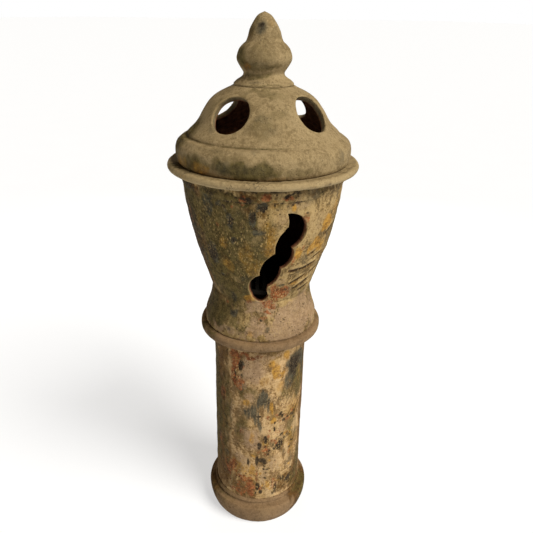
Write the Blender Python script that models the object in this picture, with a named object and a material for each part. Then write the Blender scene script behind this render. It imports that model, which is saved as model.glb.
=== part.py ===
"""A stacking clay chiminea: a pedestal, a fire bowl with a scalloped mouth, a loose grate and a vented lid.

Metres, +Z up. The origin is the centre of the foot's resting face, and -Y is the front. An outline is a
list of (radius, height) points, and an azimuth is measured from the front towards +X, in degrees.
"""

import math

import bmesh
import bpy
from mathutils import Matrix, Vector

SEGMENTS = 40  # facets round each turned piece
CURVE_STEPS = 2  # facets between two points of a curved outline
GAP = 0.0003  # clearance between touching pieces
WALL = 0.013  # thickness of the thrown clay

# Heights of the joins, from the ground up
SHAFT_BOTTOM = 0.0760
PLATE_BOTTOM = 0.5512
PLATE_TOP = 0.5730
BOWL_FOOT_TOP = 0.6000
RIM_BOTTOM = 0.9440
RIM_TOP = 0.9580
CROWN_TOP = 1.1115
TIP = 1.2480

# Pedestal
REST_RADIUS = 0.1190
FOOT_RADIUS = 0.1331
SHAFT_RADIUS = 0.1116
PLATE_RADIUS = 0.1437
PLATE_HOLE_RADIUS = 0.0800
PLATE_EDGE_RADIUS = 0.0085
COLLAR_INNER, COLLAR_OUTER = 0.0940, 0.1060  # raised ring that keeps the bowl centred
COLLAR_HEIGHT = 0.0060

# Fire bowl
BOWL_FOOT_RADIUS = 0.1315
BOWL_FOOT_RING = 0.0190  # width of the ring that the bowl stands on
FLOOR_BOTTOM, FLOOR_TOP = 0.5815, 0.5935
WAIST_RADIUS = 0.1152
MOUTH_RADIUS = 0.1783
RIM_RADIUS = 0.2038
RIM_EDGE_RADIUS = 0.0065

# Scalloped fire mouth: across (measured round the bowl at MOUTH_GAUGE), height, and how far the arc
# from this point to the next swells out of the opening. A negative swell bites into it.
MOUTH_GAUGE = 0.1500
FIRE_MOUTH = (
    (0.0440, 0.8900, 0.0345),
    (0.0625, 0.8080, 0.0135),
    (0.0437, 0.7580, 0.0095),
    (0.0163, 0.7110, -0.0033),
    (0.0208, 0.6870, 0.0175),
    (-0.0260, 0.6867, 0.0150),
    (-0.0048, 0.7418, 0.0088),
    (0.0261, 0.7988, 0.0080),
    (0.0480, 0.8590, -0.0010),
)
ARC_STEPS = 6

# Lid
LID_EDGE_RADIUS = 0.1820
LIP_INNER, LIP_OUTER = 0.1490, 0.1600  # ring under the lid that drops into the bowl's mouth
LIP_DEPTH = 0.0140
CROWN_HOLE_RADIUS = 0.0400
FINIAL_BASE_RADIUS = 0.0622
VENT_AZIMUTHS = (-32.0, 53.0, 148.0, 233.0)
VENT_RADIUS = 0.0410
VENT_CENTRE = (0.1180, 1.0640)
VENT_TILT = 38.0  # of the vent's axis above the horizon
VENT_STEPS = 28

# Grate, resting on the inside of the bowl just above the waist
GRATE_RADIUS = 0.1050
GRATE_BOTTOM = 0.6800
GRATE_HEIGHT = 0.0100
GRATE_RING = 0.0080
BAR_WIDTH = 0.0085
BAR_INSET = 0.0010  # the bars stop this far short of the ring's top and bottom
BAR_PITCH = 0.0160
BAR_COUNT = 12

CLAY_OLIVE = ((0.36, 0.28, 0.15, 1), 0.85, 0.0)
CLAY_MOTTLED = ((0.40, 0.31, 0.17, 1), 0.80, 0.0)
CLAY_BROWN = ((0.27, 0.19, 0.11, 1), 0.88, 0.0)
IRON = ((0.05, 0.045, 0.04, 1), 0.75, 0.6)


def clear_scene():
    for obj in list(bpy.data.objects):
        bpy.data.objects.remove(obj, do_unlink=True)


def make_material(name, look):
    colour, roughness, metallic = look
    material = bpy.data.materials.new(name)
    material.use_nodes = True
    shader = material.node_tree.nodes["Principled BSDF"]
    shader.inputs["Base Color"].default_value = colour
    shader.inputs["Roughness"].default_value = roughness
    shader.inputs["Metallic"].default_value = metallic
    return material


def add_object(name, bm, look=None):
    """The bmesh as a named object. With no look it is a cutter or another helper."""
    mesh = bpy.data.meshes.new(name)
    bm.to_mesh(mesh)
    bm.free()
    obj = bpy.data.objects.new(name, mesh)
    bpy.context.scene.collection.objects.link(obj)
    if look is None:
        obj.hide_render = True
        obj.display_type = "WIRE"
    else:
        mesh.materials.append(make_material(name, look))
        mesh.shade_smooth()
        mesh.set_sharp_from_angle(angle=math.radians(40))
    return obj


def smooth_curve(points):
    """Points on a smooth curve through the given ones, with CURVE_STEPS facets between each two."""
    ends = [points[0], *points, points[-1]]
    curve = []
    for before, start, end, after in zip(ends, ends[1:], ends[2:], ends[3:]):
        for step in range(CURVE_STEPS):
            t = step / CURVE_STEPS
            curve.append(
                tuple(
                    0.5 * (2 * q + (r - p) * t + (2 * p - 5 * q + 4 * r - s) * t**2
                           + (3 * q - p - 3 * r + s) * t**3)
                    for p, q, r, s in zip(before, start, end, after)
                )
            )
    return [*curve, points[-1]]


def round_edge(radius, height, size, start, end, steps):
    """An arc of an outline about (radius, height), with its angles in degrees from outwards to up."""
    angles = [math.radians(start + (end - start) * step / steps) for step in range(steps + 1)]
    return [(radius + size * math.cos(a), height + size * math.sin(a)) for a in angles]


def inner_face(outer, thickness):
    """The same curve moved inwards, towards the axis, by the wall's thickness."""
    moved = []
    last = len(outer) - 1
    for i, (radius, height) in enumerate(outer):
        before, after = outer[max(i - 1, 0)], outer[min(i + 1, last)]
        along = Vector((after[0] - before[0], after[1] - before[1])).normalized()
        moved.append((radius - thickness * along.y, height + thickness * along.x))
    return moved


def turned(name, outline, look):
    """A solid of revolution about Z from a closed outline."""
    bm = bmesh.new()
    corners = [bm.verts.new((radius, 0, height)) for radius, height in outline]
    edges = [bm.edges.new(pair) for pair in zip(corners, corners[1:] + corners[:1])]
    bmesh.ops.spin(
        bm,
        geom=corners + edges,
        cent=(0, 0, 0),
        axis=(0, 0, 1),
        angle=2 * math.pi,
        steps=SEGMENTS,
        use_merge=True,
    )
    bmesh.ops.remove_doubles(bm, verts=bm.verts, dist=1e-6)
    bmesh.ops.recalc_face_normals(bm, faces=bm.faces)
    return add_object(name, bm, look)


def subtract(obj, cutter):
    cut = obj.modifiers.new(cutter.name, "BOOLEAN")
    cut.operation = "DIFFERENCE"
    cut.object = cutter


def facing(azimuth, radius, height):
    """The point at an azimuth, radius and height."""
    angle = math.radians(azimuth)
    return Vector((radius * math.sin(angle), -radius * math.cos(angle), height))


def pedestal_foot():
    """Flared foot with a bead on top, open underneath."""
    bore = SHAFT_RADIUS - WALL
    side = smooth_curve(
        [(REST_RADIUS, 0), (0.1255, 0.0110), (FOOT_RADIUS - 0.0020, 0.0300), (FOOT_RADIUS, 0.0460),
         (FOOT_RADIUS - 0.0008, 0.0560), (0.1298, 0.0600)]
    )
    bead = round_edge(0.1135, 0.0690, 0.0045, -45, 60, 4)
    top = SHAFT_BOTTOM - GAP
    outline = [*side, (0.1185, 0.0620), *bead, (0.1140, top), (bore, top), (bore, 0)]
    return turned("pedestal_foot", outline, CLAY_BROWN)


def pedestal_column():
    bore = SHAFT_RADIUS - WALL
    top = PLATE_BOTTOM - GAP
    outline = [(bore, SHAFT_BOTTOM), (SHAFT_RADIUS, SHAFT_BOTTOM), (SHAFT_RADIUS, top), (bore, top)]
    return turned("pedestal_column", outline, CLAY_MOTTLED)


def pedestal_plate():
    """Round-edged plate with a low collar that sits inside the bowl's foot ring."""
    collar_top = PLATE_TOP + COLLAR_HEIGHT
    edge_centre = PLATE_RADIUS - PLATE_EDGE_RADIUS
    lower = round_edge(edge_centre, PLATE_BOTTOM + PLATE_EDGE_RADIUS, PLATE_EDGE_RADIUS, -90, 0, 3)
    upper = round_edge(edge_centre, PLATE_TOP - PLATE_EDGE_RADIUS, PLATE_EDGE_RADIUS, 0, 90, 3)
    outline = [
        (PLATE_HOLE_RADIUS, PLATE_BOTTOM),
        *lower,
        *upper,
        (COLLAR_OUTER, PLATE_TOP),
        (COLLAR_OUTER - 0.001, collar_top),
        (COLLAR_INNER, collar_top),
        (COLLAR_INNER - 0.003, PLATE_TOP),
        (PLATE_HOLE_RADIUS, PLATE_TOP),
    ]
    return turned("pedestal_plate", outline, CLAY_BROWN)


def bowl_foot():
    """Floor of the bowl, with the ring that it stands on."""
    bottom, top = PLATE_TOP + GAP, BOWL_FOOT_TOP - GAP
    ring_inside = BOWL_FOOT_RADIUS - BOWL_FOOT_RING
    outline = [
        (0, FLOOR_BOTTOM),
        (ring_inside - 0.003, FLOOR_BOTTOM),
        (ring_inside, bottom),
        (BOWL_FOOT_RADIUS - 0.002, bottom),
        (BOWL_FOOT_RADIUS, bottom + 0.003),
        (BOWL_FOOT_RADIUS - 0.0005, top),
        (BOWL_FOOT_RADIUS - WALL, top),
        (BOWL_FOOT_RADIUS - WALL - 0.006, FLOOR_TOP),
        (0, FLOOR_TOP),
    ]
    return turned("bowl_foot", outline, CLAY_MOTTLED)


def bowl_wall():
    """Outer face of the bowl between its foot and its rim: in to the waist, then out like a vase."""
    skirt = [(0.1310, BOWL_FOOT_TOP), (0.1264, 0.6150), (0.1195, 0.6370), (WAIST_RADIUS + 0.0003, 0.6600)]
    belly = [(WAIST_RADIUS + 0.0006, 0.6700), (0.1315, 0.7210), (0.1503, 0.7810), (0.1645, 0.8420)]
    shoulder = [(0.1733, 0.9020), (MOUTH_RADIUS, RIM_BOTTOM - GAP)]
    return smooth_curve([*skirt, *belly, *shoulder])


def arc_between(start, end, swell, steps):
    """Points from start up to but not including end, on an arc that swells to the left of the way there."""
    chord = end - start
    middle, left = (start + end) / 2, Vector((-chord.y, chord.x)).normalized()
    radius = (chord.length**2 / 4 + swell**2) / (2 * swell)
    centre = middle + left * (swell - radius)
    first = math.atan2(*(start - centre).yx)
    sweep = 4 * math.atan2(2 * swell, chord.length)
    angles = [first - sweep * step / steps for step in range(steps)]
    return [centre + abs(radius) * Vector((math.cos(a), math.sin(a))) for a in angles]


def fire_mouth_cutter():
    """The mouth's outline carried straight towards the axis, through the wall."""
    corners = [Vector(point[:2]) for point in FIRE_MOUTH]
    outline = []
    for start, end, point in zip(corners, corners[1:] + corners[:1], FIRE_MOUTH):
        outline += arc_between(start, end, point[2], ARC_STEPS)
    bm = bmesh.new()
    rings = []
    for radius in (0.085, 0.195):
        around = [facing(math.degrees(p.x / MOUTH_GAUGE), radius, p.y) for p in outline]
        rings.append([bm.verts.new(point) for point in around])
    inner, outer = rings
    for i in range(len(outline)):
        j = (i + 1) % len(outline)
        bm.faces.new((inner[i], inner[j], outer[j], outer[i]))
    bm.faces.new(inner)
    bm.faces.new(list(reversed(outer)))
    bmesh.ops.triangulate(bm, faces=bm.faces)
    bmesh.ops.recalc_face_normals(bm, faces=bm.faces)
    return add_object("fire_mouth_cutter", bm)


def bowl_body():
    outer = bowl_wall()
    inner = inner_face(outer, WALL)[::CURVE_STEPS]
    inner[0] = (inner[0][0], outer[0][1])
    inner[-1] = (inner[-1][0], outer[-1][1])
    body = turned("bowl_body", [*outer, *reversed(inner)], CLAY_MOTTLED)
    subtract(body, fire_mouth_cutter())
    return body


def bowl_rim():
    """Flat ring round the mouth, for the lid to sit on."""
    inside = MOUTH_RADIUS - WALL
    middle = (RIM_BOTTOM + RIM_TOP) / 2
    edge = round_edge(RIM_RADIUS - RIM_EDGE_RADIUS, middle, RIM_EDGE_RADIUS, -80, 80, 4)
    outline = [(inside, RIM_BOTTOM), (RIM_RADIUS - 0.011, RIM_BOTTOM), *edge,
               (RIM_RADIUS - 0.012, RIM_TOP), (inside, RIM_TOP)]
    return turned("bowl_rim", outline, CLAY_OLIVE)


def dome_wall():
    """Outer face of the dome: a rolled edge, a hollow flare, then a round shoulder up to the crown."""
    roll = [(0.1852, 0.9650), (0.1867, 0.9780), (0.1858, 0.9920), (0.1805, 1.0022), (0.1660, 1.0125)]
    flare = [(0.1570, 1.0217), (0.1432, 1.0345), (0.1340, 1.0480)]
    shoulder = [(0.1262, 1.0615), (0.1117, 1.0812), (0.0950, 1.0948), (0.0690, 1.1075)]
    return smooth_curve([*roll, *flare, *shoulder])


def vent_cutter(number, azimuth):
    radius, height = VENT_CENTRE
    bm = bmesh.new()
    bmesh.ops.create_cone(
        bm, cap_ends=True, segments=VENT_STEPS, radius1=VENT_RADIUS, radius2=VENT_RADIUS, depth=0.09
    )
    outwards = facing(azimuth, math.cos(math.radians(VENT_TILT)), math.sin(math.radians(VENT_TILT)))
    turn = outwards.to_track_quat("Z", "Y").to_matrix().to_4x4()
    bm.transform(Matrix.Translation(facing(azimuth, radius, height)) @ turn)
    return add_object(f"vent_cutter_{number}", bm)


def lid_dome():
    """Dome with four round vents, a flat seat on its crown and a lip that drops into the bowl."""
    bottom = RIM_TOP + GAP
    outer = dome_wall()
    inner = inner_face(outer, WALL)[CURVE_STEPS:-CURVE_STEPS:CURVE_STEPS]
    outline = [
        (LIP_OUTER, bottom),
        (LID_EDGE_RADIUS, bottom),
        *outer,
        (FINIAL_BASE_RADIUS, CROWN_TOP - GAP),
        (CROWN_HOLE_RADIUS, CROWN_TOP - GAP),
        (CROWN_HOLE_RADIUS, CROWN_TOP - WALL),
        *reversed(inner),
        (LIP_INNER, bottom + 0.006),
        (LIP_INNER, bottom - LIP_DEPTH),
        (LIP_OUTER - 0.002, bottom - LIP_DEPTH),
    ]
    dome = turned("lid_dome", outline, CLAY_OLIVE)
    for number, azimuth in enumerate(VENT_AZIMUTHS, 1):
        subtract(dome, vent_cutter(number, azimuth))
    return dome


def lid_finial():
    """Hollow knob: a collar, a waist, a round bulb and a pointed bud, open into the dome below."""
    collar = [(FINIAL_BASE_RADIUS, CROWN_TOP), (0.0620, 1.1150)]
    neck = [(0.0550, 1.1212), (0.0446, 1.1282), (0.0421, 1.1348), (0.0460, 1.1420)]
    bulb = [(0.0542, 1.1550), (0.0561, 1.1655), (0.0503, 1.1813), (0.0380, 1.1935)]
    bud = [(0.0345, 1.2014), (0.0306, 1.2150), (0.0222, 1.2300), (0.0130, 1.2415), (0, TIP)]
    hollow = [(0, 1.2250), (0.0200, 1.2130), (0.0255, 1.1850), (0.0400, 1.1700), (0.0400, 1.1600),
              (0.0310, 1.1420), (0.0310, 1.1300), (CROWN_HOLE_RADIUS, CROWN_TOP)]
    outline = [*collar, *smooth_curve(neck + bulb), *bud, *hollow]
    return turned("lid_finial", outline, CLAY_OLIVE)


def grate_bar(name, offset, width, along_x=False):
    """A bar whose ends lie inside the grate's ring."""
    reach = GRATE_RADIUS - GRATE_RING / 2
    length = 2 * math.sqrt(reach**2 - (abs(offset) + width / 2) ** 2)
    bm = bmesh.new()
    bmesh.ops.create_cube(bm, size=1)
    size = (length, width) if along_x else (width, length)
    middle = (0, offset) if along_x else (offset, 0)
    lift = Matrix.Translation((*middle, GRATE_BOTTOM + GRATE_HEIGHT / 2))
    bm.transform(lift @ Matrix.Diagonal((*size, GRATE_HEIGHT - 2 * BAR_INSET, 1)))
    return add_object(name, bm)


def fire_grate():
    """Cast-iron grate: a ring, parallel bars and one cross bar."""
    inside, top = GRATE_RADIUS - GRATE_RING, GRATE_BOTTOM + GRATE_HEIGHT
    outline = [(inside, GRATE_BOTTOM), (GRATE_RADIUS, GRATE_BOTTOM), (GRATE_RADIUS, top), (inside, top)]
    grate = turned("fire_grate", outline, IRON)
    bars = [grate_bar("cross_bar", 0, 1.2 * BAR_WIDTH, along_x=True)]
    for number in range(BAR_COUNT):
        offset = (number - (BAR_COUNT - 1) / 2) * BAR_PITCH
        bars.append(grate_bar(f"bar_{number + 1}", offset, BAR_WIDTH))
    for bar in bars:
        weld = grate.modifiers.new(bar.name, "BOOLEAN")
        weld.operation = "UNION"
        weld.object = bar
    return grate


def main():
    clear_scene()
    pedestal_foot()
    pedestal_column()
    pedestal_plate()
    bowl_foot()
    bowl_body()
    bowl_rim()
    fire_grate()
    lid_dome()
    lid_finial()


main()
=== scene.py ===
"""Looks for the clay chiminea.

Each clay section is a fine mesh turned from the outline of its CAD node, then worn, pitted, carved and cut.
Washes, scorch marks, painted shade and painted highlights are laid over it as soft masks, which the materials
break up with noise.
Lengths are in metres, and azimuths are in degrees from the front (-Y) towards +X.
"""

import itertools
import math

import bmesh
import bpy
import numpy as np
from mathutils import Matrix, Vector


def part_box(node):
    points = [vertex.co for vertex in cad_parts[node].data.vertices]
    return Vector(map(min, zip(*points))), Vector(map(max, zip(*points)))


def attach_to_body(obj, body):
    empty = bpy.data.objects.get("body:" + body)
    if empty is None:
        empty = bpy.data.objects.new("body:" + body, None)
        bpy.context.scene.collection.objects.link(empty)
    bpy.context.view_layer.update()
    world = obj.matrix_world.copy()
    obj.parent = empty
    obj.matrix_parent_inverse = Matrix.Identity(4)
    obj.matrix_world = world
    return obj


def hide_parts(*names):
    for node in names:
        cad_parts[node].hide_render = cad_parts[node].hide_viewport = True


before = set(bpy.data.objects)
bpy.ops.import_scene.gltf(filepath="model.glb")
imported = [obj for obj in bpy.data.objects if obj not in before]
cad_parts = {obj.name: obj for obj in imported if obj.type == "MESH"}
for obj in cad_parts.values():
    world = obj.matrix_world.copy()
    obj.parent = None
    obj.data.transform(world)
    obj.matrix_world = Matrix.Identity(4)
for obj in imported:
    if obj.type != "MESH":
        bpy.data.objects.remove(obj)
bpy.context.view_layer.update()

MM = 0.001
ON_PLANE = 2e-5  # how far off the half plane through +X a vertex of an outline may be

# Mesh
FINE = 2.0 * MM  # between points on the front
COARSE = 6.0 * MM  # between points of a face that looks towards the axis
FRONT = 85.0  # azimuth where the front's fine spacing ends
REAR_SPREAD = 1.9  # how much wider apart the points are behind
CORNER = 38.0  # an outline turns more than this many degrees at a corner
CORNER_STEPS = 4
WORN_SHARE = 0.35  # the most of a side that the wear of one corner takes
HIDDEN_SLOPE = -0.15  # a side that runs down more steeply than this faces the axis
INWARD = -0.3  # relief stays off a face whose normal points towards the axis more than this
# How far the corners of each piece are worn, in mm. It is least where a seam has to look closed.
WEAR = {
    "pedestal_foot": 1.0, "pedestal_column": 0.3, "pedestal_plate": 1.2, "bowl_foot": 0.2, "bowl_body": 0.2,
    "bowl_rim": 2.0, "lid_dome": 2.5, "lid_finial": 1.2,
}

# Shape left by the potter's hands
LEAN_HEIGHTS = (0.0, 0.12, 0.35, 0.55, 0.66, 0.8, 0.95, 1.05, 1.11, 1.16, 1.21, 1.248)
LEAN_SHIFTS = (-2.2, -2.4, -1.2, -0.3, 0.4, 2.0, 1.4, 1.6, 1.0, 1.2, 1.6, 0.6)  # towards +X, in mm


# ---- noise and shapes


HASH = (73856093, 19349663, 83492791)  # large primes that tell the cells of the noise apart
HASH_MIX = 1274126177
HASH_TOP = 0xFFFF


def noise(points, size, seed=0):
    """Smooth noise from -1 to 1 at each of the points, with lumps of about this size."""
    place = points / size + 19.7 * seed
    cell = np.floor(place).astype(np.int64)
    along = place - cell
    along = along * along * (3 - 2 * along)
    total = np.zeros(len(points))
    for corner in itertools.product((0, 1), repeat=3):
        x, y, z = (cell + corner).T
        value = (x * HASH[0]) ^ (y * HASH[1]) ^ (z * HASH[2])
        value = (value ^ (value >> 13)) * HASH_MIX
        value = (value ^ (value >> 16)) & HASH_TOP
        weight = np.prod(np.where(corner, along, 1 - along), axis=1)
        total += weight * (2 * value / HASH_TOP - 1)
    return total


def fractal(points, size, octaves, seed=0):
    """Noise with finer noise on top of it."""
    layers = [noise(points, size / 2**i, seed + i) / 2**i for i in range(octaves)]
    return sum(layers) / sum(0.5**i for i in range(octaves))


def ease(low, high, value):
    """A smooth step from 0 to 1 as the value goes from low to high."""
    t = np.clip((value - low) / (high - low), 0, 1)
    return t * t * (3 - 2 * t)


def polar(points):
    """Azimuth, radius and height of each point."""
    x, y, z = points.T
    return np.degrees(np.arctan2(x, -y)), np.hypot(x, y), z


def from_polar(azimuth, radius, height):
    """The points at these azimuths, radii and heights."""
    angle = np.radians(azimuth)
    return np.stack((radius * np.sin(angle), -radius * np.cos(angle), height), axis=1)


def direction(azimuth, elevation):
    """The unit vector that looks out at an azimuth and an elevation in degrees."""
    a, e = math.radians(azimuth), math.radians(elevation)
    return Vector((math.cos(e) * math.sin(a), -math.cos(e) * math.cos(a), math.sin(e)))


def beside(place, start, side):
    """How far each place lies along a side, from 0 to 1, and off it. Places and sides are complex numbers."""
    away = place - start
    along = np.clip((away * np.conj(side)).real / abs(side) ** 2, 0, 1)
    return along, abs(away - along * side)


def unrolled(azimuth, middle, radius):
    """Distance round the axis from the middle azimuth, the short way."""
    return np.radians((azimuth - middle + 180) % 360 - 180) * radius


# ---- turning


def outline_of(node):
    """The node's outline, as (radius, height) points anticlockwise, from its mesh in the plane through +X."""
    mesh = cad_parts[node].data
    links = {}
    for edge in mesh.edges:
        ends = [mesh.vertices[i].co for i in edge.vertices]
        if any(abs(p.y) > ON_PLANE or p.x < -ON_PLANE for p in ends):
            continue
        a, b = ((round(p.x, 5), round(p.z, 5)) for p in ends)
        if a != b:
            links.setdefault(a, {})[b] = True
            links.setdefault(b, {})[a] = True
    loose = sorted(p for p in links if len(links[p]) == 1)
    here = loose[0] if loose else min(links)
    points, last = [here], None
    while True:
        following = [p for p in links[here] if p != last and p != points[0]]
        if not following:
            break
        last, here = here, following[0]
        points.append(here)
    if loose:
        first, final = points[0], points[-1]
        points = [(0, first[1])] * (first[0] > 0) + points + [(0, final[1])] * (final[0] > 0)
    points = np.array(points, float)
    area = np.sum(points[:, 0] * np.roll(points[:, 1], -1) - np.roll(points[:, 0], -1) * points[:, 1])
    return (points if area > 0 else points[::-1]), not loose


def unit(vectors):
    return vectors / np.maximum(np.linalg.norm(vectors, axis=-1, keepdims=True), 1e-9)


def smooth_outline(points, closed, wear):
    """The outline with its corners worn round and smooth curves between them, finest where it shows."""
    count = len(points)
    after = np.roll(points, -1, axis=0) - points
    before = np.roll(after, 1, axis=0)
    cosine = np.sum(unit(before) * unit(after), axis=1)
    corner = cosine < math.cos(math.radians(CORNER))
    if not closed:
        corner[[0, -1]] = True
    tangent = unit(before + after)
    lengths = np.linalg.norm(after, axis=1)
    curve = []
    for i in range(count if closed else count - 1):
        j = (i + 1) % count
        length = lengths[i]
        straight = after[i] / length
        leave = straight if corner[i] else tangent[i]
        arrive = straight if corner[j] else tangent[j]
        reach_back = min(wear, WORN_SHARE * length, WORN_SHARE * lengths[i - 1])
        reach = min(wear, WORN_SHARE * length, WORN_SHARE * lengths[j])
        start = reach_back / length if corner[i] and (closed or 0 < i) else 0
        stop = 1 - reach / length if corner[j] and (closed or j < count - 1) else 1
        spacing = COARSE if straight[1] < HIDDEN_SLOPE else FINE
        steps = max(1, round(length / spacing))
        for t in np.linspace(start, stop, steps + 1)[: steps + (stop < 1 or (not closed and j == count - 1))]:
            curve.append(hermite(points[i], points[j], leave * length, arrive * length, t))
        if stop < 1:
            first, last = points[j] - straight * reach, points[j] + unit(after[j]) * reach
            for t in np.arange(1, CORNER_STEPS) / CORNER_STEPS:
                curve.append((1 - t) ** 2 * first + 2 * t * (1 - t) * points[j] + t**2 * last)
    return np.array(curve)


def hermite(start, end, leave, arrive, t):
    return (
        (2 * t**3 - 3 * t**2 + 1) * start
        + (t**3 - 2 * t**2 + t) * leave
        + (3 * t**2 - 2 * t**3) * end
        + (t**3 - t**2) * arrive
    )


def azimuths_for(radius):
    """Azimuths right round a piece, close together at the front."""
    fine = math.degrees(FINE / radius)
    front = np.linspace(-FRONT, FRONT, round(2 * FRONT / fine), endpoint=False)
    behind = 360 - 2 * FRONT
    rear = np.linspace(0, behind, round(behind / fine / REAR_SPREAD), endpoint=False)
    return np.concatenate((front, FRONT + rear))


def hand_thrown(points):
    """How far the potter's hands left the wall from truly round, outwards."""
    return 0.55 * MM * noise(points, 0.11, 3) + 0.4 * MM * noise(points, 0.045, 4)


def turned(node, relief, azimuths=None):
    """A mesh turned from the node's outline, pushed out by relief(azimuth, radius, height, points)."""
    outline, closed = outline_of(node)
    outline = smooth_outline(outline, closed, WEAR[node] * MM)
    if azimuths is None:
        azimuths = azimuths_for(outline[:, 0].max())
    along = np.gradient(outline, axis=0)
    if closed:
        along = np.roll(outline, -1, axis=0) - np.roll(outline, 1, axis=0)
    across = unit(np.stack((along[:, 1], -along[:, 0]), axis=1))
    rings, columns = len(outline), len(azimuths)
    azimuth = np.tile(azimuths, rings)
    radius, height = np.repeat(outline, columns, axis=0).T
    out, up = np.repeat(across, columns, axis=0).T
    points = from_polar(azimuth, radius, height)
    push = relief(azimuth, radius, height, points) * (out > INWARD)
    swell = hand_thrown(points) * ease(0, 0.03, radius)
    points = from_polar(azimuth, radius + out * push + swell, height + up * push)
    points[:, 0] += lean(height)
    faces = quads_round(rings, columns, closed).tolist()
    return mesh_object(node + "_clay", points, faces, None if closed else join_pole)


def lean(height):
    """How far the potter left the pieces off the axis at each height, towards +X."""
    return np.interp(height, LEAN_HEIGHTS, LEAN_SHIFTS) * MM


def leaning(height):
    return np.stack((lean(height), 0 * height, 0 * height), axis=1)


def quads_round(rings, columns, closed):
    """Faces between rings of points. Where it is closed, the last ring joins the first."""
    ring = np.arange(rings if closed else rings - 1)[:, None] * columns
    above = (ring + columns) % (rings * columns)
    column = np.arange(columns)[None, :]
    beside = (column + 1) % columns
    return np.stack((ring + column, ring + beside, above + beside, above + column), axis=-1).reshape(-1, 4)


def placed(name, data):
    """A new object in the scene that shows this data."""
    obj = bpy.data.objects.new(name, data)
    bpy.context.scene.collection.objects.link(obj)
    return obj


def mesh_object(name, points, faces, mend=None):
    """An object with this mesh, after mend has been at it."""
    mesh = bpy.data.meshes.new(name)
    mesh.from_pydata(points.tolist(), [], faces)
    if mend:
        bm = bmesh.new()
        bm.from_mesh(mesh)
        mend(bm)
        bm.to_mesh(mesh)
        bm.free()
    return placed(name, mesh)


def join_pole(bm):
    """Make one point of the ring of points where an outline meets the axis."""
    pole = [v for v in bm.verts if math.hypot(v.co.x, v.co.y) < 5 * MM]
    bmesh.ops.remove_doubles(bm, verts=pole, dist=1e-6)
    bmesh.ops.dissolve_degenerate(bm, edges=bm.edges, dist=1e-7)


def face_outwards(bm):
    bmesh.ops.recalc_face_normals(bm, faces=bm.faces)


def assign(thing, settings):
    for name, value in settings.items():
        setattr(thing, name, value)
    return thing


def modify(obj, kind, **settings):
    """The object with a modifier of this kind."""
    assign(obj.modifiers.new(kind.lower(), kind), settings)


def bake(obj):
    """Turn the object's modifiers into its mesh."""
    graph = bpy.context.evaluated_depsgraph_get()
    mesh = bpy.data.meshes.new_from_object(obj.evaluated_get(graph))
    obj.modifiers.clear()
    obj.data = mesh


def cut(obj, cutters):
    """The object with the cutters taken out of it."""
    for cutter in cutters:
        modify(obj, "BOOLEAN", operation="DIFFERENCE", solver="EXACT", object=cutter)
    bake(obj)
    for cutter in cutters:
        bpy.data.objects.remove(cutter)


# ---- openings

MOUTH_GAUGE = 0.15  # the radius at which the fire mouth is measured
# Corners of the scalloped mouth, clockwise: distance round the bowl, height, and the swell of the arc to
# the next corner, in mm
MOUTH = (
    (44.0, 890.0, 34.5),
    (62.5, 808.0, 13.5),
    (43.7, 758.0, 9.5),
    (16.3, 711.0, -3.3),
    (20.8, 687.0, 17.5),
    (-26.0, 686.7, 15.0),
    (-4.8, 741.8, 8.8),
    (26.1, 798.8, 8.0),
    (48.0, 859.0, -1.0),
)
MOUTH_ARC_STEPS = 16
MOUTH_CUT = (0.085, 0.2)  # radii between which the cutter of the mouth runs
MOUTH_CUT_RINGS = 24
MOUTH_WAVER = 0.45 * MM
VENTS = ((-33.2, 1.0655), (53.0, 1.0655), (148.0, 1.064), (233.0, 1.064))  # azimuth and height of each
VENT_RADIUS = 0.041
VENT_REACH = 0.118  # from the axis to a vent's centre
VENT_TILT = 38.0
VENT_CUT = 45  # half the length of a vent's cutter, in mm
VENT_CUT_STEPS = 128
VENT_CUT_RINGS = 20
VENT_WAVER = 0.5 * MM
BEHIND_VENT = -0.06  # a point further back along a vent's axis belongs to the other side of the lid


def arc_between(start, end, swell):
    """Points on the arc from start that swells to the left, without its end. Points are complex numbers."""
    chord = end - start
    radius = (abs(chord) ** 2 / 4 + swell**2) / (2 * swell)
    centre = (start + end) / 2 + 1j * chord / abs(chord) * (swell - radius)
    sweep = 4 * math.atan2(2 * swell, abs(chord))
    turns = np.exp(-1j * sweep * np.arange(MOUTH_ARC_STEPS) / MOUTH_ARC_STEPS)
    return centre + (start - centre) * turns


def mouth_outline():
    corners = [complex(across, height) * MM for across, height, swell in MOUTH]
    ends = corners[1:] + corners[:1]
    return np.concatenate([arc_between(a, b, row[2] * MM) for a, b, row in zip(corners, ends, MOUTH)])


def mouth_distance(azimuth, height):
    """Distance from the mouth's edge, measured on the unrolled wall. It is negative inside the mouth."""
    place = unrolled(azimuth, 0, MOUTH_GAUGE) + 1j * height
    outline = mouth_outline()
    nearest = np.full(place.shape, np.inf)
    inside = np.zeros(place.shape, bool)
    for a, b in zip(outline, np.roll(outline, -1)):
        side = b - a
        nearest = np.minimum(nearest, beside(place, a, side)[1])
        crosses = (a.imag > place.imag) != (b.imag > place.imag)
        slope = side.real / side.imag if side.imag else 0
        inside ^= crosses & (place.real < a.real + (place.imag - a.imag) * slope)
    return np.where(inside, -nearest, nearest)


def wavering(points, size, depth, seeds):
    """The points moved a little in every direction, like the edge of a cut made by hand."""
    return points + depth * np.stack([noise(points, size, seed) for seed in seeds], axis=1)


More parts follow.
